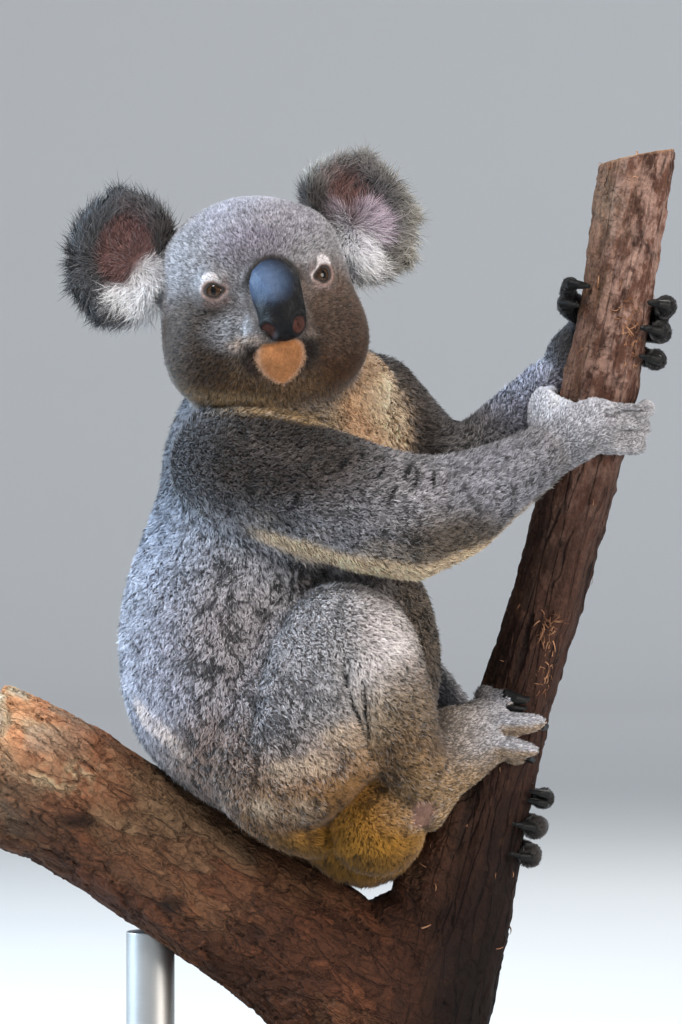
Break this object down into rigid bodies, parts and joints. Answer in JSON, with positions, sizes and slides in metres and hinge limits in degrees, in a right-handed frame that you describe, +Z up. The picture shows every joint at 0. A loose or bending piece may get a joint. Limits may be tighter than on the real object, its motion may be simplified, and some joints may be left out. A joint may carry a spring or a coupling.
{
  "type": "koala model on a perch",
  "caption": "Life-size sitting koala with its face turned to one side, gripping the forked branch it sits in, held on a flat base by short rods.",
  "frame": {"origin": "centre of the stand base's underside", "axes": "+Z up; +X the way the koala's belly faces, towards the post it holds; -Y the koala's right side, the way its face is turned"},
  "size_m": [0.5022, 0.2587, 0.7164],
  "materials": {
    "coat": "short dense woolly fur, ash grey with cream chest, chin and ear tufts and a rusty rump",
    "nose": "bare pebbled leather, satin",
    "eye": "wet gloss, dark brown iris",
    "claw": "smooth black horn, satin",
    "bark": "red-brown flaky eucalypt bark, matt, sawn ends",
    "base": "dark stained board, satin",
    "steel": "brushed"
  },
  "bodies": {
    "root": {"perch_fork": "bark", "stand_base": "base", "stand_rod_stem": "steel", "stand_rod_limb": "steel", "eye_right": "eye", "eye_left": "eye", "nose": "nose", "head": "coat", "ear_right": "coat", "ear_left": "coat", "claw_hand_right_1": "claw", "claw_hand_right_2": "claw", "claw_hand_right_3": "claw", "claw_hand_right_4": "claw", "claw_hand_right_5": "claw", "hand_right": "coat", "claw_hand_left_1": "claw", "claw_hand_left_2": "claw", "claw_hand_left_3": "claw", "claw_hand_left_4": "claw", "claw_hand_left_5": "claw", "hand_left": "coat", "claw_foot_right_1a": "claw", "claw_foot_right_1b": "claw", "claw_foot_right_2": "claw", "claw_foot_right_3": "claw", "foot_right": "coat", "claw_foot_left_1a": "claw", "claw_foot_left_1b": "claw", "claw_foot_left_2": "claw", "claw_foot_left_3": "claw", "foot_left": "coat", "trunk": "coat", "neck": "coat", "thigh_right": "coat", "shank_right": "coat", "thigh_left": "coat", "shank_left": "coat", "upper_arm_right": "coat", "forearm_right": "coat", "upper_arm_left": "coat", "forearm_left": "coat"}
  },
  "joints": []
}
